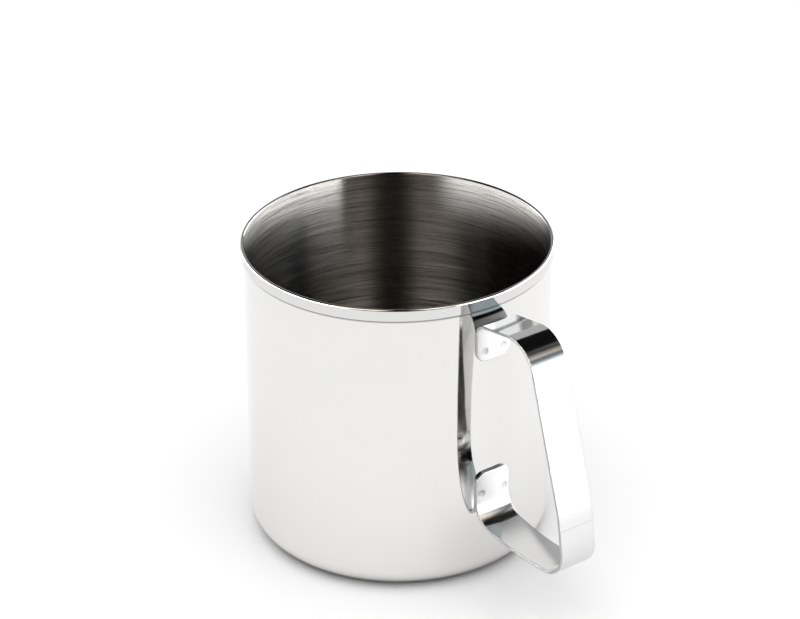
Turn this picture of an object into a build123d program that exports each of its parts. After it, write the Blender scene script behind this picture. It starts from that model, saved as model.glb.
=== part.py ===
from build123d import *
from math import atan2, degrees, radians, tan
import os

# Shaving mug: a deep-drawn stainless steel cup with a spot-welded strap handle.
# Millimetres, +Z up. The origin is the centre of the base, in the plane the foot stands on,
# and the handle points along +X.

os.makedirs("parts", exist_ok=True)

# cup
SHEET = 0.55                     # sheet thickness of the drawn cup
WALL_RADIUS = 43.65              # outside of the straight wall
HEIGHT = 90.0
CORNER_RADIUS = 7.5              # outside of the bend from base to wall
FOOT_INNER_RADIUS = 29.0         # the foot is the flat ring from here to the corner
PANEL_RADIUS = 25.5              # flat middle of the base, pressed up
PANEL_RISE = 0.8
PANEL_BEND = 4.0
HEM_HEIGHT = 3.5                 # the rim is folded outwards and down, flat against the wall

# strap handle, whose section lines follow the outer face of the strip
STRAP_THICKNESS = 0.8
STRAP_WIDTH = 11.6
TAB_CORNER_RADIUS = 3.0
UPPER_TAB_BOTTOM = 70.6          # free end of the tab under the top run
LOWER_TAB_TOP = 35.4             # free end of the tab above the bottom run
TOP_RUN_HEIGHT = 82.7            # where the top run's line meets the wall
TOP_RUN_SLOPE = 8.8              # degrees, rising away from the wall
GRIP_LEAN = 16.8                 # degrees from vertical, leaning out towards the bottom
GRIP_BREAK = (79.8, 38.8)        # where the grip begins to turn down
GRIP_FOOT_LEAN = 8.0             # degrees from vertical, below the break
BOTTOM_CORNER_HEIGHT = 19.8      # where the grip's line meets the bottom run's
SAG_CORNER = (61.0, 17.4)        # the bottom run sags between the grip and the wall
BOTTOM_RUN_HEIGHT = 20.6         # where the bottom run's line meets the wall
UPPER_WALL_BEND = 4.0
TOP_BEND = 10.0
BREAK_BEND = 36.0
BOTTOM_BEND = 8.0
SAG_BEND = 80.0
LOWER_WALL_BEND = 6.5

# spot welds, two to a tab
WELD_RADIUS = 1.1
WELD_INTO_WALL = 0.3             # depth of the nugget in the cup's sheet
WELD_SUNK = 0.03                 # rim of the nugget, below the face of the strap
WELD_DISH = 0.12                 # depth of the electrode's dimple, below that rim
WELD_ROWS = {"upper_weld": (73.8, 3.2), "lower_weld": (28.8, 4.0)}    # height, half spacing


def weld_plane(height, side_offset):
    """The plane on the cup's wall at this height and offset, facing straight out."""
    turn = degrees(atan2(side_offset, WALL_RADIUS))
    facing_out = Plane(origin=(0, 0, height), x_dir=(0, 1, 0), z_dir=(1, 0, 0))
    return facing_out.rotated((0, 0, turn)).offset(WALL_RADIUS - WELD_INTO_WALL)


WELDS = {
    f"{row}_{side}": weld_plane(height, sign * half_spacing)
    for row, (height, half_spacing) in WELD_ROWS.items()
    for side, sign in (("left", -1), ("right", 1))
}


# ---- cup body: base, wall and folded rim in one drawn piece ----
with BuildPart() as cup_body:
    with BuildSketch(Plane.XZ) as shell_section:
        with BuildLine():
            FilletPolyline(
                (0, PANEL_RISE),
                (PANEL_RADIUS, PANEL_RISE),
                (FOOT_INNER_RADIUS, 0),
                (WALL_RADIUS, 0),
                (WALL_RADIUS, HEIGHT - SHEET),
                radius=[PANEL_BEND, PANEL_BEND, CORNER_RADIUS],
            )
            offset(amount=SHEET, side=Side.LEFT)
        make_face()
    with BuildSketch(Plane.XZ) as hem_section:
        with BuildLine():
            Polyline(
                (WALL_RADIUS - SHEET, HEIGHT - SHEET),
                (WALL_RADIUS, HEIGHT - SHEET),
                (WALL_RADIUS, HEIGHT - HEM_HEIGHT),
                (WALL_RADIUS + SHEET, HEIGHT - HEM_HEIGHT),
                (WALL_RADIUS + SHEET, HEIGHT - SHEET),
            )
            CenterArc((WALL_RADIUS, HEIGHT - SHEET), SHEET, 0, 180)
        make_face()
    revolve(axis=Axis.Z)
    for plane in WELDS.values():
        with BuildSketch(plane):
            Circle(WELD_RADIUS)
        extrude(amount=WELD_INTO_WALL + STRAP_THICKNESS, mode=Mode.SUBTRACT)

cup_body.part.label = "cup_body"
export_step(cup_body.part, "parts/cup_body.step")


# ---- handle strap: one bent strip, its tabs turned into the finger gap and curved to the wall ----
lean = tan(radians(GRIP_LEAN))
slope = tan(radians(TOP_RUN_SLOPE))
break_r, break_z = GRIP_BREAK
# the top run's line, z = TOP_RUN_HEIGHT + slope * (r - WALL_RADIUS), meets the grip's line
top_corner_r = (break_r + lean * (break_z - TOP_RUN_HEIGHT + slope * WALL_RADIUS)) / (1 + lean * slope)
top_corner_z = TOP_RUN_HEIGHT + slope * (top_corner_r - WALL_RADIUS)
bottom_corner_r = break_r + (break_z - BOTTOM_CORNER_HEIGHT) * tan(radians(GRIP_FOOT_LEAN))

with BuildPart() as handle_strap:
    with BuildSketch(Plane.XZ) as strip_section:
        with BuildLine():
            FilletPolyline(
                (WALL_RADIUS, UPPER_TAB_BOTTOM),
                (WALL_RADIUS, TOP_RUN_HEIGHT),
                (top_corner_r, top_corner_z),
                (break_r, break_z),
                (bottom_corner_r, BOTTOM_CORNER_HEIGHT),
                SAG_CORNER,
                (WALL_RADIUS, BOTTOM_RUN_HEIGHT),
                (WALL_RADIUS, LOWER_TAB_TOP),
                radius=[UPPER_WALL_BEND, TOP_BEND, BREAK_BEND, BOTTOM_BEND, SAG_BEND, LOWER_WALL_BEND],
            )
            offset(amount=STRAP_THICKNESS, side=Side.RIGHT)
        make_face()
    # turned about the cup's axis, so that the tabs fit the wall, then cut to the strip's width
    revolve(axis=Axis.Z)
    Box(
        bottom_corner_r,
        STRAP_WIDTH,
        HEIGHT,
        align=(Align.MIN, Align.CENTER, Align.MIN),
        mode=Mode.INTERSECT,
    )
    tab_ends = handle_strap.edges().filter_by(Axis.X).filter_by(lambda e: e.length < 2 * STRAP_THICKNESS)
    fillet(tab_ends, radius=TAB_CORNER_RADIUS)
    for plane in WELDS.values():
        with BuildSketch(plane):
            Circle(WELD_RADIUS)
        extrude(amount=WELD_INTO_WALL + 2 * STRAP_THICKNESS, mode=Mode.SUBTRACT)

handle_strap.part.label = "handle_strap"
export_step(handle_strap.part, "parts/handle_strap.step")


# ---- spot welds: a nugget through the strap into the wall, its outer end dished by the electrode ----
nugget_length = WELD_INTO_WALL + STRAP_THICKNESS - WELD_SUNK
dish_radius = (WELD_RADIUS**2 + WELD_DISH**2) / (2 * WELD_DISH)

for name, plane in WELDS.items():
    with BuildPart(plane) as weld:
        Cylinder(WELD_RADIUS, nugget_length, align=(Align.CENTER, Align.CENTER, Align.MIN))
        with Locations((0, 0, nugget_length - WELD_DISH + dish_radius)):
            Sphere(dish_radius, mode=Mode.SUBTRACT)
    weld.part.label = name
    export_step(weld.part, f"parts/{name}.step")
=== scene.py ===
"""Looks of the shaving mug: a drawn steel cup with a folded rim and a spot-welded strap handle.

Metres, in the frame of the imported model: +Z up, the handle along +X, the base on z = 0.
The cup and the strap are remade here as fine meshes; the four spot welds are the frame's own.
"""
from math import atan2, ceil, cos, hypot, pi, radians, sin, sqrt, tan

import bpy
from mathutils import Matrix, Vector


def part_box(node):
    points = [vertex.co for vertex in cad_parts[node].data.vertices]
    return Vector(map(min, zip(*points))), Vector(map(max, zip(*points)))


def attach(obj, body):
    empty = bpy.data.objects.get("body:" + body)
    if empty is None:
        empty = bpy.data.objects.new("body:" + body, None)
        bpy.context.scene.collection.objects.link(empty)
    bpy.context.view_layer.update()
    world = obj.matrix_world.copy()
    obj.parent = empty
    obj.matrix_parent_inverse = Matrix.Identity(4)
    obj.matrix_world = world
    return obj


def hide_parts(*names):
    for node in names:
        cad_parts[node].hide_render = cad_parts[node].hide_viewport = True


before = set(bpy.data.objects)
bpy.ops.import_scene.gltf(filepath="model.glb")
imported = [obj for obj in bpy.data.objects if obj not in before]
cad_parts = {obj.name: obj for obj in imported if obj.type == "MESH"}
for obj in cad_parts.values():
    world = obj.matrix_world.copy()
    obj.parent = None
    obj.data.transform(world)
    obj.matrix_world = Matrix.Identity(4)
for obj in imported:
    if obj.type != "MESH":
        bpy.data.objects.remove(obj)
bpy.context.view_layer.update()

MM = 0.001

# ---- the camera and the studio ----
CAMERA_BEARING = radians(-36.318)      # of the camera, seen from the cup's axis; the handle is at 0
CAMERA_REACH = 0.70129                 # from the axis, along the floor
CAMERA_HEIGHT = 0.4347
CAMERA_PITCH = radians(27.66)          # downwards
CAMERA_PAN = radians(0.052)            # to the right of the cup's axis
CAMERA_ROLL = radians(-0.556)
CAMERA_LENS = 125.1                    # on a 36 mm sensor
FLOOR_SIZE = 6.0
FLOOR_ALBEDO = 0.93
FLOOR_IOR = 1.25                       # low, so that the floor reflects little
ROOM_LIGHT = 1.16                      # brightness of the white room that lights the floor
WHITE = (1.0, 1.0, 1.0)
TEAL = (0.8, 0.93, 1.0)
WARM = (1.0, 0.89, 0.77)
GLOW = 34.0                            # brightness of the low strip lights on either side of the camera
OVERHEAD = 2.0                         # of the lights above them
WHITE_BAND = 1.1                       # of the low white band round the room
GREY_WALL = 0.47                       # of the wall across from the camera
UNLIT = 0.004                          # of everything else that the steel sees

# ---- the cup, from the frame's boxes and the sheet it is drawn from ----
SHEET = 0.5 * MM
_, cup_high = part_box("cup_body")
HEIGHT = cup_high.z
RIM_RADIUS = cup_high.y
HEM_GAP = 0.05 * MM                    # left between the wall and the hem folded down over it
WALL_RADIUS = RIM_RADIUS - SHEET - HEM_GAP
CORNER_RADIUS = 7.5 * MM
FOOT_INNER_RADIUS = 29.0 * MM
PANEL_RADIUS = 25.5 * MM
PANEL_RISE = 0.8 * MM
PANEL_BEND = 4.0 * MM
HEM_HEIGHT = 3.5 * MM
HEM_EDGE_RADIUS = 0.24 * MM            # of the hem's cut edge
CUP_SEGMENTS = 288
COARSE_SHARE = 0.06                    # of the coarse lines among those turned inside the cup
LINE_LEAN = 0.22                       # slope of those lines: its average
LINE_SPREAD = 0.33                     # and how far it goes either way

# ---- the strap handle; its line follows the face away from the finger gap ----
STRAP_THICKNESS = 0.8 * MM
STRAP_EDGE_RADIUS = 0.2 * MM
strap_low, strap_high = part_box("handle_strap")
STRAP_WIDTH = strap_high.y - strap_low.y
TAB_CORNER_RADIUS = 3.0 * MM
UPPER_TAB_BOTTOM = 70.6 * MM
LOWER_TAB_TOP = 35.4 * MM
TOP_RUN_HEIGHT = 82.7 * MM
TOP_RUN_SLOPE = radians(8.8)
GRIP_LEAN = radians(16.8)
GRIP_BREAK = Vector((79.8 * MM, 38.8 * MM))
GRIP_FOOT_LEAN = radians(8.0)
BOTTOM_CORNER_HEIGHT = 19.8 * MM       # where the lines of the grip and the bottom run meet
SAG_CORNER = Vector((61.0 * MM, 17.4 * MM))
BOTTOM_RUN_HEIGHT = 20.6 * MM
STRAP_BENDS = [4.0 * MM, 10.0 * MM, 36.0 * MM, 8.0 * MM, 80.0 * MM, 6.5 * MM]
GRIP_REFLECTION_TOP = 34.6 * MM              # height up to which the grip's foot is painted a little darker, a painted reflection of the shaded floor
TAB_CURVED_TO = 45.0 * MM              # the strap follows the wall's curve up to this radius
STRAP_FLAT_FROM = 53.0 * MM            # and is flat across from this one on

# ---- the spot welds ----
WELD_RADIUS = 1.1 * MM
WELD_LIP = 0.04 * MM                   # rounding of the strap's edge round a weld
WELD_RECESS = 0.5 * MM                 # how far the strap's hole goes down beside a weld
WELD_COLLAR = 0.2 * MM                 # width of the flat ring of mesh round the strap's hole
WELD_PATCH = 1.5 * MM                  # half the side of the patch of mesh round a weld


# ---- the steels: the darker and the lighter colour that each one's pattern goes between ----
WALL_STEEL = ((0.77, 0.765, 0.755), (0.795, 0.79, 0.78))
# the inside's colours are far darker than the wall's: painted shade that keeps the inside of the cup dark
SHADED_INNER_STEEL = ((0.30, 0.293, 0.28), (0.32, 0.313, 0.30))
STRAP_STEEL = ((0.80, 0.80, 0.80), (0.825, 0.825, 0.82))
CUT_STEEL = ((0.40, 0.40, 0.40), (0.56, 0.56, 0.555))
WELD_STEEL = ((0.52, 0.515, 0.505), (0.60, 0.595, 0.585))


# ======== mesh tools ========
class Outline:
    """A flat line of straight runs joined by tangent arcs, followed by its length."""

    def __init__(self, corners, radii):
        self.pieces = []               # (length so far, length, start, heading, curvature)
        self.length = 0.0
        corners = [Vector(corner) for corner in corners]
        position = corners[0]
        for before, corner, after, radius in zip(corners, corners[1:], corners[2:], radii):
            heading = heading_of(corner - before)
            turn = (heading_of(after - corner) - heading + pi) % (2 * pi) - pi
            tangent = radius * tan(abs(turn) / 2)
            arc_start = corner - (corner - before).normalized() * tangent
            self.add(position, heading, (arc_start - position).length, 0.0)
            self.add(arc_start, heading, radius * abs(turn), turn / (radius * abs(turn)))
            position = corner + (after - corner).normalized() * tangent
        last_run = corners[-1] - corners[-2]
        self.add(position, heading_of(last_run), (corners[-1] - position).length, 0.0)

    def add(self, start, heading, length, curvature):
        if length > 1e-9:
            self.pieces.append((self.length, length, start, heading, curvature))
            self.length += length

    def at(self, distance):
        """The point and the heading this far along."""
        distance = min(max(distance, 0.0), self.length)
        begun = [piece for piece in self.pieces if piece[0] <= distance + 1e-12]
        before, _, start, heading, curvature = begun[-1]
        run = distance - before
        if curvature == 0.0:
            return start + run * Vector((cos(heading), sin(heading))), heading
        turned = heading + run * curvature
        swing = Vector((sin(turned) - sin(heading), cos(heading) - cos(turned))) / curvature
        return start + swing, turned

    def stations(self, widest_angle, longest_run):
        """Lengths along the line, close enough that no arc or run shows its facets."""
        found = []
        for before, length, _, _, curvature in self.pieces:
            count = max(1, ceil(length * abs(curvature) / widest_angle), ceil(length / longest_run))
            found += [before + length * step / count for step in range(count)]
        return found + [self.length]


def heading_of(run):
    return atan2(run.y, run.x)


def smooth_step(value, low, high):
    part = min(max((value - low) / (high - low), 0.0), 1.0)
    return part * part * (3 - 2 * part)


def mesh_object(name, vertices, normals, faces, materials, face_materials=None):
    """A smooth-shaded mesh with exact normals, one to a vertex."""
    mesh = bpy.data.meshes.new(name)
    mesh.from_pydata(vertices, [], faces)
    for material in materials:
        mesh.materials.append(material)
    if face_materials:
        mesh.polygons.foreach_set("material_index", face_materials)
    mesh.polygons.foreach_set("use_smooth", [True] * len(faces))
    mesh.validate()
    mesh.normals_split_custom_set_from_vertices(normals)
    piece = bpy.data.objects.new(name, mesh)
    bpy.context.scene.collection.objects.link(piece)
    return piece


# ======== material tools ========
def add_node(tree, kind, inputs=None, **settings):
    """A node whose inputs are given as values or as the sockets that feed them."""
    node = tree.nodes.new(kind)
    for name, value in settings.items():
        setattr(node, name, value)
    for name, value in (inputs or {}).items():
        if isinstance(value, bpy.types.NodeSocket):
            tree.links.new(value, node.inputs[name])
        else:
            node.inputs[name].default_value = value
    return node


def math_node(tree, operation, first, second=0.0):
    return add_node(tree, "ShaderNodeMath", {0: first, 1: second}, operation=operation).outputs[0]


def ramp(tree, value, low, high, at_low=0.0, at_high=1.0):
    """A smooth change from at_low to at_high as the value goes from low to high."""
    inputs = {"Value": value, "From Min": low, "From Max": high, "To Min": at_low, "To Max": at_high}
    node = add_node(tree, "ShaderNodeMapRange", inputs, interpolation_type="SMOOTHSTEP")
    return node.outputs["Result"]


def noise(tree, vector, scale, detail=2.0, roughness=0.5):
    inputs = {"Vector": vector, "Scale": scale, "Detail": detail, "Roughness": roughness}
    return add_node(tree, "ShaderNodeTexNoise", inputs).outputs["Fac"]


def combine(tree, x, y, z):
    return add_node(tree, "ShaderNodeCombineXYZ", {"X": x, "Y": y, "Z": z}).outputs["Vector"]


def vector_math(tree, operation, first, second):
    node = add_node(tree, "ShaderNodeVectorMath", {0: first, 1: second}, operation=operation)
    return node.outputs["Vector"]


def scale_vector(tree, vector, factor):
    node = add_node(tree, "ShaderNodeVectorMath", {0: vector, "Scale": factor}, operation="SCALE")
    return node.outputs["Vector"]


def split(tree, vector):
    parts = add_node(tree, "ShaderNodeSeparateXYZ", {"Vector": vector})
    return [parts.outputs[axis] for axis in "XYZ"]


def object_place(tree):
    """The place on the object, as a vector in the shared frame."""
    return add_node(tree, "ShaderNodeTexCoord").outputs["Object"]


def place_parts(tree):
    """The place on the object: x, y, z and the distance from the cup's axis."""
    x, y, z = split(tree, object_place(tree))
    flat = combine(tree, x, y, 0.0)
    radius = add_node(tree, "ShaderNodeVectorMath", {0: flat}, operation="LENGTH").outputs["Value"]
    return x, y, z, radius


def new_steel(name, **settings):
    """A bare metal material, its node tree and its shader."""
    material = bpy.data.materials.new(name)
    material.use_nodes = True
    shader = material.node_tree.nodes["Principled BSDF"]
    shader.inputs["Metallic"].default_value = 1.0
    for socket, value in settings.items():
        shader.inputs[socket.replace("_", " ")].default_value = value
    return material, material.node_tree, shader


def mix_colours(tree, share, first, second):
    inputs = {0: share, 6: first, 7: second}
    return add_node(tree, "ShaderNodeMix", inputs, data_type="RGBA").outputs[2]


def tint(tree, shader, mask, colours, shade=0.0):
    """Colours the shader from dark to light as the mask goes from 0 to 1, then towards black by shade."""
    dark, light = colours
    colour = mix_colours(tree, mask, (*dark, 1), (*light, 1))
    tree.links.new(mix_colours(tree, shade, colour, (0, 0, 0, 1)), shader.inputs["Base Color"])


def bump(tree, shader, height, distance):
    inputs = {"Height": height, "Distance": distance, "Strength": 1.0}
    made = add_node(tree, "ShaderNodeBump", inputs)
    tree.links.new(made.outputs["Normal"], shader.inputs["Normal"])


def ring_lines(tree, fineness, drift):
    """Where to read a noise, so that it is drawn out into fine lines round the cup's axis."""
    x, y, z, radius = place_parts(tree)
    along = math_node(tree, "MULTIPLY", math_node(tree, "ADD", z, radius), fineness)
    across = [math_node(tree, "MULTIPLY", part, drift) for part in (x, y)]
    return combine(tree, *across, along)


# ======== materials ========
def polished_cup_steel():
    """Mirror-polished wall: faint polishing rings, hazy smudges, wear at the rim and the foot, and painted
    shade under the hem and at the foot.
    """
    material, tree, shader = new_steel("polished_cup_steel")
    _, _, z, radius = place_parts(tree)
    rings = noise(tree, ring_lines(tree, 1400, 25), 1.0, detail=3)
    smudges = noise(tree, object_place(tree), 55, detail=4, roughness=0.6)
    rim = ramp(tree, z, HEIGHT - 5 * MM, HEIGHT)
    foot = ramp(tree, z, 5 * MM, 0.0)
    wear_and_painted_reflection = math_node(tree, "MULTIPLY", math_node(tree, "MAXIMUM", rim, foot), smudges)
    haze = math_node(tree, "MULTIPLY", rings, 0.02)
    roughness = math_node(tree, "ADD", ramp(tree, smudges, 0.35, 0.75, 0.03, 0.06), haze)
    roughness = math_node(tree, "ADD", roughness, math_node(tree, "MULTIPLY", wear_and_painted_reflection, 0.06))
    tree.links.new(roughness, shader.inputs["Roughness"])
    # painted shade in the corner under the hem, where shade falls, and the hem painted a little darker than
    # the wall, a painted reflection of the darker floor further off
    hem_bottom = HEIGHT - HEM_HEIGHT
    by_hem = ramp(tree, z, hem_bottom - 0.9 * MM, hem_bottom - 0.4 * MM)
    crease_shade = ramp(tree, radius, WALL_RADIUS + SHEET / 2, WALL_RADIUS, 0.0, 0.6)
    hem_shade = ramp(tree, radius, WALL_RADIUS + SHEET / 2, WALL_RADIUS + SHEET, 0.0, 0.1)
    shade = math_node(tree, "ADD", math_node(tree, "MULTIPLY", by_hem, crease_shade), hem_shade)
    # painted shadow where the corner comes down to the foot, the floor's contact shadow as the corner mirrors
    # it
    painted_foot_shadow = ramp(tree, z, 3.5 * MM, 0.4 * MM, 0.0, 0.6)
    shade = math_node(tree, "MAXIMUM", shade, painted_foot_shadow)
    tint(tree, shader, smudges, WALL_STEEL, shade)
    bump(tree, shader, rings, 0.4e-6)
    return material


def satin_cup_steel():
    """Inside of the cup: fine turned lines, which spread reflections up and down but not sideways."""
    material, tree, shader = new_steel("satin_cup_steel", Anisotropic=1.0, Anisotropic_Rotation=0.25)
    fine = noise(tree, ring_lines(tree, 7500, 40), 1.0, detail=3, roughness=0.78)
    coarse = noise(tree, ring_lines(tree, 900, 12), 1.0, detail=2, roughness=0.6)
    fine_part = math_node(tree, "MULTIPLY", fine, 1 - COARSE_SHARE)
    coarse_part = math_node(tree, "MULTIPLY", coarse, COARSE_SHARE)
    lines = math_node(tree, "ADD", fine_part, coarse_part)
    tree.links.new(ramp(tree, fine, 0.3, 0.7, 0.26, 0.31), shader.inputs["Roughness"])
    # painted shade: the inside is given a much darker steel than the wall, to keep it dark
    tint(tree, shader, ramp(tree, coarse, 0.35, 0.65), SHADED_INNER_STEEL)
    tangent = add_node(tree, "ShaderNodeTangent", direction_type="RADIAL", axis="Z").outputs["Tangent"]
    tree.links.new(tangent, shader.inputs["Tangent"])
    # the flanks of the lines lean by a random slope, on average by LINE_LEAN
    normal = add_node(tree, "ShaderNodeNewGeometry").outputs["Normal"]
    across = vector_math(tree, "CROSS_PRODUCT", tangent, normal)
    slope = ramp(tree, lines, 0.2, 0.8, LINE_LEAN - LINE_SPREAD, LINE_LEAN + LINE_SPREAD)
    leaning = vector_math(tree, "ADD", normal, scale_vector(tree, across, slope))
    unit = add_node(tree, "ShaderNodeVectorMath", {0: leaning}, operation="NORMALIZE").outputs["Vector"]
    tree.links.new(unit, shader.inputs["Normal"])
    return material


def strap_steel():
    """Bright faces of the strap, with a fine grain along its length and a painted reflection darkening the
    grip's foot.
    """
    material, tree, shader = new_steel("strap_steel")
    x, y, z, radius = place_parts(tree)
    grain_place = combine(
        tree,
        math_node(tree, "MULTIPLY", x, 22),
        math_node(tree, "MULTIPLY", y, 2600),
        math_node(tree, "MULTIPLY", z, 22),
    )
    grain = noise(tree, grain_place, 1.0, detail=4, roughness=0.6)
    smudges = noise(tree, object_place(tree), 90, detail=3)
    roughness = math_node(
        tree, "ADD", ramp(tree, grain, 0.3, 0.7, 0.05, 0.09), math_node(tree, "MULTIPLY", smudges, 0.03)
    )
    # duller on the tabs, round the welds, and towards the bottom run
    on_tab = ramp(tree, radius, WALL_RADIUS + 2.6 * MM, WALL_RADIUS + 1.2 * MM, 0.0, 0.4)
    low_down = ramp(tree, z, 27 * MM, 21 * MM, 0.0, 0.15)
    duller = math_node(tree, "MAXIMUM", on_tab, low_down)
    tree.links.new(math_node(tree, "MAXIMUM", roughness, duller), shader.inputs["Roughness"])
    # painted reflection: the foot of the grip, below its break, is painted a little darker, as it would
    # mirror the shaded floor by the mug, with a thin dark line where the darkening starts, a painted
    # reflection of the table's edge
    on_grip = ramp(tree, radius, 74 * MM, 77 * MM)
    darkening = ramp(tree, z, GRIP_REFLECTION_TOP, 16 * MM, 0.02, 0.26)
    below = ramp(tree, z, GRIP_REFLECTION_TOP, GRIP_REFLECTION_TOP - 0.2 * MM)
    wear_and_painted_reflection = math_node(tree, "MULTIPLY", darkening, below)
    from_line = math_node(tree, "ABSOLUTE", math_node(tree, "SUBTRACT", z, GRIP_REFLECTION_TOP))
    reflected_edge_line = ramp(tree, from_line, 0.25 * MM, 0.1 * MM, 0.0, 0.16)
    shade = math_node(tree, "MULTIPLY", math_node(tree, "MAXIMUM", wear_and_painted_reflection, reflected_edge_line), on_grip)
    tint(tree, shader, grain, STRAP_STEEL, shade)
    bump(tree, shader, grain, 0.1e-6)
    return material


def cut_edge_steel():
    """Sheared edges of the strap: duller and darker than its faces, with fine marks across."""
    material, tree, shader = new_steel("cut_edge_steel")
    x, y, z = split(tree, object_place(tree))
    marks = noise(tree, combine(tree, x, math_node(tree, "MULTIPLY", y, 0.2), z), 2500, detail=3)
    tree.links.new(ramp(tree, marks, 0.3, 0.7, 0.16, 0.26), shader.inputs["Roughness"])
    tint(tree, shader, marks, CUT_STEEL)
    bump(tree, shader, marks, 1e-6)
    return material


def weld_steel():
    """Spot weld: metal pressed by the electrode, grainy, darker than the strap and faintly warm."""
    material, tree, shader = new_steel("weld_steel")
    place = object_place(tree)
    grain = noise(tree, place, 6000, detail=3)
    patches = noise(tree, place, 900, detail=2)
    tree.links.new(ramp(tree, grain, 0.3, 0.7, 0.32, 0.45), shader.inputs["Roughness"])
    tint(tree, shader, patches, WELD_STEEL)
    bump(tree, shader, grain, 3e-6)
    return material


def floor_white():
    """Plain pale table top with a slight gloss."""
    material = bpy.data.materials.new("floor_white")
    material.use_nodes = True
    tree = material.node_tree
    shader = tree.nodes["Principled BSDF"]
    shader.inputs["Base Color"].default_value = (FLOOR_ALBEDO, FLOOR_ALBEDO, FLOOR_ALBEDO, 1)
    shader.inputs["IOR"].default_value = FLOOR_IOR
    unevenness = noise(tree, object_place(tree), 40)
    tree.links.new(ramp(tree, unevenness, 0.3, 0.7, 0.16, 0.2), shader.inputs["Roughness"])
    return material


# ======== the cup ========
def beside(corners, distance):
    """The same corners moved this far to the left of the line through them."""
    corners = [Vector(corner) for corner in corners]
    headings = [heading_of(after - before) for before, after in zip(corners, corners[1:])]
    headings = [headings[0]] + headings + [headings[-1]]
    moved = []
    for corner, arriving, leaving in zip(corners, headings, headings[1:]):
        middle = (arriving + leaving) / 2
        reach = distance / cos((leaving - arriving) / 2)
        moved.append(corner + reach * Vector((-sin(middle), cos(middle))))
    return moved


def cup_outline():
    """The cup's section: out along the bottom, up the outside, round the hem, and down the inside."""
    hem_radius = RIM_RADIUS - SHEET                       # inside of the hem's outer layer
    fold_radius = (RIM_RADIUS - WALL_RADIUS + SHEET) / 2
    hem_bottom = HEIGHT - HEM_HEIGHT
    outside = [
        (0, PANEL_RISE),
        (PANEL_RADIUS, PANEL_RISE),
        (FOOT_INNER_RADIUS, 0),
        (WALL_RADIUS, 0),
        (WALL_RADIUS, HEIGHT - SHEET),
    ]
    hem = [
        (hem_radius, HEIGHT - SHEET),
        (hem_radius, hem_bottom),
        (RIM_RADIUS, hem_bottom),
        (RIM_RADIUS, HEIGHT),
        (WALL_RADIUS - SHEET, HEIGHT),
    ]
    inside = beside(outside, SHEET)[-2::-1]
    bends = [PANEL_BEND, PANEL_BEND, CORNER_RADIUS]
    inner_bends = [CORNER_RADIUS - SHEET, PANEL_BEND - SHEET, PANEL_BEND + SHEET]
    fold_bends = [HEM_GAP / 2, HEM_GAP / 2, HEM_EDGE_RADIUS, HEM_EDGE_RADIUS, fold_radius, fold_radius]
    return Outline(outside + hem + inside, bends + fold_bends + inner_bends)


def lathe(name, outline, stations, materials, material_at):
    """Turns an outline in (radius, height), metal on its left, about the Z axis."""
    vertices, normals, faces, face_materials, rings = [], [], [], [], []
    for station in stations:
        (radius, height), heading = outline.at(station)
        out = Vector((sin(heading), -cos(heading)))
        count = 1 if radius < 1e-9 else CUP_SEGMENTS
        rings.append([len(vertices) + step for step in range(count)])
        for step in range(count):
            angle = 2 * pi * step / CUP_SEGMENTS
            vertices.append((radius * cos(angle), radius * sin(angle), height))
            normals.append((out.x * cos(angle), out.x * sin(angle), out.y))
    for first, second, station in zip(rings, rings[1:], stations):
        for step in range(CUP_SEGMENTS):
            after = (step + 1) % CUP_SEGMENTS
            loop = [
                first[step % len(first)],
                first[after % len(first)],
                second[after % len(second)],
                second[step % len(second)],
            ]
            faces.append(list(dict.fromkeys(loop)))
            face_materials.append(material_at(station))
    return mesh_object(name, vertices, normals, faces, materials, face_materials)


def make_cup():
    outline = cup_outline()
    stations = outline.stations(radians(6), 4 * MM)

    def steel_at(station):
        """0 for the polished steel outside, 1 for the satin steel inside."""
        point, _ = outline.at(station + 1e-6)
        is_inside = station > outline.length / 2 and point.x < RIM_RADIUS - 2 * SHEET
        return 1 if is_inside else 0

    steels = [polished_cup_steel(), satin_cup_steel()]
    return lathe("steel_cup", outline, stations, steels, steel_at)


# ======== the strap handle ========
def strap_outline():
    lean = tan(GRIP_LEAN)
    slope = tan(TOP_RUN_SLOPE)
    drop = GRIP_BREAK.y - TOP_RUN_HEIGHT + slope * WALL_RADIUS
    top_x = (GRIP_BREAK.x + lean * drop) / (1 + lean * slope)
    top_z = TOP_RUN_HEIGHT + slope * (top_x - WALL_RADIUS)
    bottom_x = GRIP_BREAK.x + (GRIP_BREAK.y - BOTTOM_CORNER_HEIGHT) * tan(GRIP_FOOT_LEAN)
    corners = [
        (WALL_RADIUS, UPPER_TAB_BOTTOM),
        (WALL_RADIUS, TOP_RUN_HEIGHT),
        (top_x, top_z),
        GRIP_BREAK,
        (bottom_x, BOTTOM_CORNER_HEIGHT),
        SAG_CORNER,
        (WALL_RADIUS, BOTTOM_RUN_HEIGHT),
        (WALL_RADIUS, LOWER_TAB_TOP),
    ]
    return Outline(corners, STRAP_BENDS)


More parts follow.
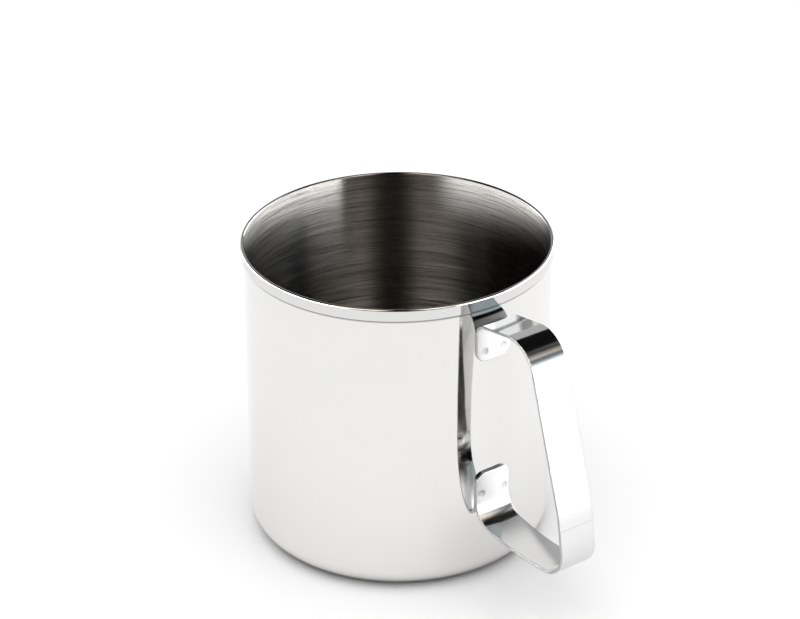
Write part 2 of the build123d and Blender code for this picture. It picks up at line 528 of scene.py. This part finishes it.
class Strap:
    """The strap's surface, addressed by length along it, place across it and depth into it."""

    CORNER_STEPS = 6
    EDGE_STEPS = 3
    ACROSS_STEPS = 8                   # over the patch of mesh round a weld

    def __init__(self):
        self.outline = strap_outline()
        self.vertices = []
        self.normals = []
        self.faces = []
        self.welds = [
            self.weld_centre(f"{row}_weld_{side}") for row in ("upper", "lower") for side in ("left", "right")
        ]
        self.stations = self.lay_out_stations()

    def tab_place(self, height, on_upper_tab):
        """Length along the strap of a place at this height on a tab."""
        if on_upper_tab:
            return height - UPPER_TAB_BOTTOM
        return self.outline.length - LOWER_TAB_TOP + height

    def weld_centre(self, node):
        """Length along the strap and place across it of a weld in the frame."""
        low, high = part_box(node)
        middle = (low + high) / 2
        on_upper_tab = middle.z > (UPPER_TAB_BOTTOM + LOWER_TAB_TOP) / 2
        across = middle.y / hypot(middle.x, middle.y) * (WALL_RADIUS + STRAP_THICKNESS)
        return self.tab_place(middle.z, on_upper_tab), across

    def lay_out_stations(self):
        """Stations as (anchor, which end, corner angle): the angle falls to 0 round a tab's corners."""
        last_anchor = self.outline.length - TAB_CORNER_RADIUS
        runs = self.outline.stations(radians(4), 0.5 * MM)
        middle = [run for run in runs if TAB_CORNER_RADIUS + 1e-5 < run < last_anchor - 1e-5]
        angles = [pi / 2 * step / self.CORNER_STEPS for step in range(self.CORNER_STEPS + 1)]
        stations = [(TAB_CORNER_RADIUS, 1, angle) for angle in angles]
        stations += [(run, 0, pi / 2) for run in middle]
        stations += [(last_anchor, -1, angle) for angle in reversed(angles)]
        return stations

    def across_lines(self, along):
        """Places across the strap, as shares of its half width, with the welds' patches between lines."""
        share = along / self.outline.length
        upper, lower = abs(self.welds[0][1]), abs(self.welds[2][1])
        weld = upper + (lower - upper) * share
        half = STRAP_WIDTH / 2 - STRAP_EDGE_RADIUS
        inner = weld - WELD_PATCH
        outer = weld + WELD_PATCH
        steps = self.ACROSS_STEPS
        patch = [inner + (outer - inner) * step / steps for step in range(steps + 1)]
        right = [line / half for line in [inner / 2] + patch] + [1.0]
        return [-line for line in reversed(right)] + [0.0] + right

    def border(self, station, inset):
        """How far along a station lies at this inset from the strap's border, and its half width there."""
        anchor, end, angle = station
        reach = TAB_CORNER_RADIUS - inset
        return anchor - end * reach * cos(angle), STRAP_WIDTH / 2 - TAB_CORNER_RADIUS + reach * sin(angle)

    def place(self, along, across, depth):
        point, heading = self.outline.at(along)
        radius = point.x + depth * sin(heading)
        height = point.y - depth * cos(heading)
        curved = 1 - smooth_step(radius, TAB_CURVED_TO, STRAP_FLAT_FROM)
        sag = radius - sqrt(radius**2 - across**2)
        return Vector((radius - curved * sag, across, height))

    def directions(self, along, across, depth):
        """Unit vectors along the strap, across it and out of its outer face."""
        step = 1e-6
        run = self.place(along + step, across, depth) - self.place(along - step, across, depth)
        side = self.place(along, across + step, depth) - self.place(along, across - step, depth)
        out = run.cross(side).normalized()
        return run.normalized(), out.cross(run).normalized(), out

    def vertex(self, along, across, depth, tilt=0.0, outward=(0.0, 0.0)):
        """Adds a vertex whose normal leans by tilt from the outer face's towards outward in the strap."""
        run, side, out = self.directions(along, across, depth)
        self.vertices.append(self.place(along, across, depth))
        sideways = run * outward[0] + side * outward[1]
        self.normals.append((out * cos(tilt) + sideways * sin(tilt)).normalized())
        return len(self.vertices) - 1

    def lattice(self, inset, depth, tilt):
        """Adds the lattice of one face and returns its rows of vertex numbers."""
        rows = []
        for station in self.stations:
            along, edge = self.border(station, inset)
            rows.append([
                self.vertex(along, line * edge, depth, tilt) for line in self.across_lines(along)
            ])
        return rows

    def rim(self, rows, inset, depth, tilt):
        """Adds a ring round the strap's edge; rows is only read for its shape."""
        ring = []
        for row, column in perimeter(len(rows), len(rows[0])):
            along, edge = self.border(self.stations[row], inset)
            _, end, angle = self.stations[row]
            line = self.across_lines(along)[column]
            hand = 1 if line > 0 else -1
            outward = (-end * cos(angle), hand * sin(angle))
            ring.append(self.vertex(along, line * edge, depth, tilt, outward))
        return ring

    def weld_hole(self, rows, weld):
        """Joins the lattice to a round hole at a weld; returns the cells that it takes the place of."""
        along, across = weld
        middle = len(rows[0]) // 2
        first_line = middle + 2 if across > 0 else middle - 2 - self.ACROSS_STEPS
        lines = range(first_line, first_line + self.ACROSS_STEPS + 1)
        reached = [self.border(station, STRAP_EDGE_RADIUS)[0] for station in self.stations]
        first = max(row for row, run in enumerate(reached) if run < along - WELD_PATCH * 0.95)
        last = min(row for row, run in enumerate(reached) if run > along + WELD_PATCH * 0.95)
        before = [
            rows[first + row][lines[0] + column] for row, column in perimeter(last - first + 1, len(lines))
        ]
        on_upper_tab = along < self.outline.length / 2
        angles = []
        for number in before:
            place = self.vertices[number]
            angles.append(atan2(place.y - across, self.tab_place(place.z, on_upper_tab) - along))
        # radius, depth and tilt of the rings from the patch's border down into the hole
        rings = [
            (WELD_RADIUS + WELD_COLLAR, 0.0, pi),
            (WELD_RADIUS + WELD_LIP, 0.0, pi),
            (WELD_RADIUS, WELD_LIP, pi / 2),
            (WELD_RADIUS, WELD_RECESS, pi / 2),
        ]
        for radius, sunk, tilt in rings:
            ring = [
                self.vertex(along + radius * cos(angle), across + radius * sin(angle),
                            STRAP_THICKNESS - sunk, tilt, (-cos(angle), -sin(angle)))
                for angle in angles
            ]
            self.join(before, ring)
            before = ring
        self.faces.append(before[::-1])
        return {(row, line) for row in range(first, last) for line in lines[:-1]}

    def join(self, first, second):
        """Faces between two closed rings of as many vertices."""
        for number, corner in enumerate(first):
            after = (number + 1) % len(first)
            self.faces.append([corner, second[number], second[after], first[after]])

    def edge_layers(self):
        """Inset, depth and tilt of the rings round the strap's rounded edge, from face to face."""
        tilts = [pi / 2 * step / self.EDGE_STEPS for step in range(self.EDGE_STEPS + 1)]
        edge = STRAP_EDGE_RADIUS
        layers = [(edge * (1 - sin(tilt)), edge * (1 - cos(tilt)), tilt) for tilt in tilts]
        mirrored = [(inset, STRAP_THICKNESS - depth, pi - tilt) for inset, depth, tilt in reversed(layers)]
        return layers + mirrored

    def fill(self, outer, inner, holes):
        """Faces over both lattices, the inner one without the cells at its holes."""
        for row in range(len(outer) - 1):
            for line in range(len(outer[0]) - 1):
                cell = [(row, line), (row + 1, line), (row + 1, line + 1), (row, line + 1)]
                self.faces.append([outer[corner][place] for corner, place in cell])
                if (row, line) not in holes:
                    self.faces.append([inner[corner][place] for corner, place in cell[:1] + cell[:0:-1]])

    def build(self):
        layers = self.edge_layers()
        outer = self.lattice(*layers[0])
        inner = self.lattice(*layers[-1])
        holes = set()
        for weld in self.welds:
            holes |= self.weld_hole(inner, weld)
        self.fill(outer, inner, holes)
        face_count = len(self.faces)
        loop = perimeter(len(outer), len(outer[0]))
        rings = [[outer[row][line] for row, line in loop]]
        rings += [self.rim(outer, *layer) for layer in layers[1:-1]]
        rings.append([inner[row][line] for row, line in loop])
        for first, second in zip(rings, rings[1:]):
            self.join(first, second)
        steels = [strap_steel(), cut_edge_steel()]
        face_steels = [0 if number < face_count else 1 for number in range(len(self.faces))]
        return mesh_object("steel_strap", self.vertices, self.normals, self.faces, steels, face_steels)


def perimeter(rows, lines):
    """The border of a lattice as (row, line), anticlockwise with the rows going to the right."""
    border = [(row, 0) for row in range(rows)]
    border += [(rows - 1, line) for line in range(1, lines)]
    border += [(row, lines - 1) for row in range(rows - 2, -1, -1)]
    border += [(0, line) for line in range(lines - 2, 0, -1)]
    return border


# ======== the studio ========
def make_camera():
    data = bpy.data.cameras.new("camera")
    data.lens = CAMERA_LENS
    data.clip_end = 20.0
    camera = bpy.data.objects.new("camera", data)
    heading = CAMERA_BEARING + pi / 2 - CAMERA_PAN
    place = Matrix.Translation((
        CAMERA_REACH * cos(CAMERA_BEARING),
        CAMERA_REACH * sin(CAMERA_BEARING),
        CAMERA_HEIGHT,
    ))
    look = Matrix.Rotation(heading, 4, "Z") @ Matrix.Rotation(pi / 2 - CAMERA_PITCH, 4, "X")
    camera.matrix_world = place @ look @ Matrix.Rotation(CAMERA_ROLL, 4, "Z")
    bpy.context.scene.collection.objects.link(camera)
    bpy.context.scene.camera = camera


def make_floor():
    half = FLOOR_SIZE / 2
    corners = [(-half, -half, 0), (half, -half, 0), (half, half, 0), (-half, half, 0)]
    mesh = bpy.data.meshes.new("floor")
    mesh.from_pydata(corners, [], [(0, 1, 2, 3)])
    mesh.materials.append(floor_white())
    floor = bpy.data.objects.new("floor", mesh)
    bpy.context.scene.collection.objects.link(floor)


class Room:
    """The surroundings, as shader nodes that depend on the direction looked in."""

    def __init__(self, tree):
        self.tree = tree
        direction = add_node(tree, "ShaderNodeTexCoord").outputs["Generated"]
        inputs = {"Vector": direction, "Angle": -CAMERA_BEARING}
        turned = add_node(tree, "ShaderNodeVectorRotate", inputs, rotation_type="Z_AXIS")
        self.towards_camera, right, self.up = split(tree, turned.outputs["Vector"])
        # degrees from the camera's side of the mug, to the right in its view, and above the horizon
        self.side = math_node(tree, "DEGREES", math_node(tree, "ARCTAN2", right, self.towards_camera))
        self.rise = math_node(tree, "DEGREES", math_node(tree, "ARCSINE", self.up))
        self.path = add_node(tree, "ShaderNodeLightPath").outputs

    def product(self, *masks):
        result = masks[0]
        for mask in masks[1:]:
            result = math_node(self.tree, "MULTIPLY", result, mask)
        return result

    def between(self, value, start, end, soft):
        begins = ramp(self.tree, value, start - soft, start + soft)
        ends = ramp(self.tree, value, end - soft, end + soft, 1.0, 0.0)
        return self.product(begins, ends)

    def sides(self, start, end, soft):
        return self.between(self.side, start, end, soft)

    def heights(self, start, end, soft):
        return self.between(self.rise, start, end, soft)

    def fading(self, full_to, gone_from):
        """Full up to one height, fading to nothing at another."""
        return ramp(self.tree, self.rise, full_to, gone_from, 1.0, 0.0)

    def low_glow(self):
        """Strongest just above the horizon, and gone at 19 degrees."""
        inputs = {"Value": self.rise, "From Min": 1.0, "From Max": 19.0, "To Min": 1.0, "To Max": 0.0}
        fall = add_node(self.tree, "ShaderNodeMapRange", inputs).outputs["Result"]
        above = ramp(self.tree, self.rise, 0.5, 1.5)
        return self.product(math_node(self.tree, "POWER", fall, 3.0), above)

    def panel(self, brightness, colour, *masks):
        light = [brightness * part for part in colour]
        return scale_vector(self.tree, light, self.product(*masks))

    def panels(self):
        """What the steel reflects: lights and pale walls in a dark room.

        Some panels show only in a first, second or later reflection, so that the inside of the cup
        stays dark between its streaks, and what the wall mirrors beside the handle has its own tones.
        """
        sides, heights, fading, panel = self.sides, self.heights, self.fading, self.panel
        depth = self.path["Glossy Depth"]
        first = math_node(self.tree, "LESS_THAN", depth, 1.5)
        third = math_node(self.tree, "GREATER_THAN", depth, 2.5)
        second = math_node(self.tree, "SUBTRACT", math_node(self.tree, "SUBTRACT", 1.0, first), third)
        glow = self.low_glow()
        # a patch of the white band that second reflections see darker
        dim_patch = self.product(heights(4, 22, 3), sides(92, 108, 1.5), second)
        not_dimmed = math_node(self.tree, "SUBTRACT", 1.0, math_node(self.tree, "MULTIPLY", dim_patch, 0.6))
        lights = [
            panel(GLOW, WHITE, first, glow, sides(41.6, 150, 0.5)),
            panel(GLOW, WHITE, first, glow, sides(-134, -38, 14)),
            panel(1.3 * OVERHEAD, WARM, first, heights(33, 80, 4), sides(24, 44, 8)),
            panel(0.5 * OVERHEAD, WARM, first, heights(33, 80, 4), sides(44, 80, 12)),
            panel(OVERHEAD, WARM, first, heights(33, 80, 4), sides(-56, -14, 9)),
            panel(0.5, TEAL, second, heights(35, 51, 3), sides(58, 100, 4)),
            panel(0.10, WHITE, third, heights(36, 64, 4), sides(66, 110, 6)),
        ]
        white_band = [
            panel(WHITE_BAND, WHITE, not_dimmed, fading(13, 27), sides(41, 95, 3)),
            panel(0.27, TEAL, fading(20, 46), sides(70, 95, 3)),
            panel(WHITE_BAND, WHITE, fading(13, 46), sides(41, 70, 3)),
            panel(WHITE_BAND, WHITE, not_dimmed, fading(38, 52), sides(95, 150, 6)),
            panel(WHITE_BAND, WHITE, fading(14, 15), sides(150, 200, 3)),
            panel(WHITE_BAND, WHITE, fading(14, 15), sides(-200, -150, 3)),
            panel(WHITE_BAND, WHITE, fading(5, 20), sides(-150, -34, 10)),
        ]
        grey_wall = [
            panel(GREY_WALL, WHITE, heights(15, 34, 0.7), sides(158, 200, 6)),
            panel(GREY_WALL, WHITE, heights(15, 34, 0.7), sides(-200, -150, 5)),
            panel(GREY_WALL, WHITE, first, heights(34, 43.5, 0.7), sides(158, 200, 6)),
            panel(GREY_WALL, WHITE, first, heights(34, 43.5, 0.7), sides(-200, -150, 5)),
        ]
        return lights + white_band + grey_wall

    def steel_sees(self):
        colour = (UNLIT, UNLIT, UNLIT)
        for lit in self.panels():
            colour = vector_math(self.tree, "ADD", lit, colour)
        return add_node(self.tree, "ShaderNodeBackground", {"Color": colour}).outputs[0]

    def lights_floor(self):
        """White, mostly from overhead, and a little more from the camera's side."""
        overhead = ramp(self.tree, self.rise, 0, 70, 0.05, 1.6)
        in_front = math_node(self.tree, "MULTIPLY", self.product(self.towards_camera, self.up), 0.6)
        total = math_node(self.tree, "ADD", overhead, in_front)
        strength = math_node(self.tree, "MULTIPLY", total, ROOM_LIGHT)
        inputs = {"Color": (1, 1, 1, 1), "Strength": strength}
        return add_node(self.tree, "ShaderNodeBackground", inputs).outputs[0]

    def background(self):
        """The panels for reflections in the steel, and plain white for everything else."""
        off_floor = math_node(self.tree, "LESS_THAN", self.path["Diffuse Depth"], 0.5)
        is_reflection = self.product(self.path["Is Glossy Ray"], off_floor)
        inputs = {0: is_reflection, 1: self.lights_floor(), 2: self.steel_sees()}
        return add_node(self.tree, "ShaderNodeMixShader", inputs).outputs[0]


def make_room():
    world = bpy.data.worlds.new("room")
    world.use_nodes = True
    world.cycles.sampling_method = "NONE"
    bpy.context.scene.world = world
    tree = world.node_tree
    tree.nodes.clear()
    add_node(tree, "ShaderNodeOutputWorld", {"Surface": Room(tree).background()})


make_camera()
make_floor()
make_room()
bpy.context.scene.view_settings.view_transform = "Standard"
bpy.context.scene.cycles.glossy_bounces = 10
bpy.context.scene.cycles.max_bounces = 14

cup = make_cup()
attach(cup, "root")
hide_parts("cup_body")

strap = Strap().build()
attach(strap, "root")
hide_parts("handle_strap")

weld_material = weld_steel()
for name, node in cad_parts.items():
    if "_weld_" in name:
        for slot in node.material_slots:
            slot.material = weld_material
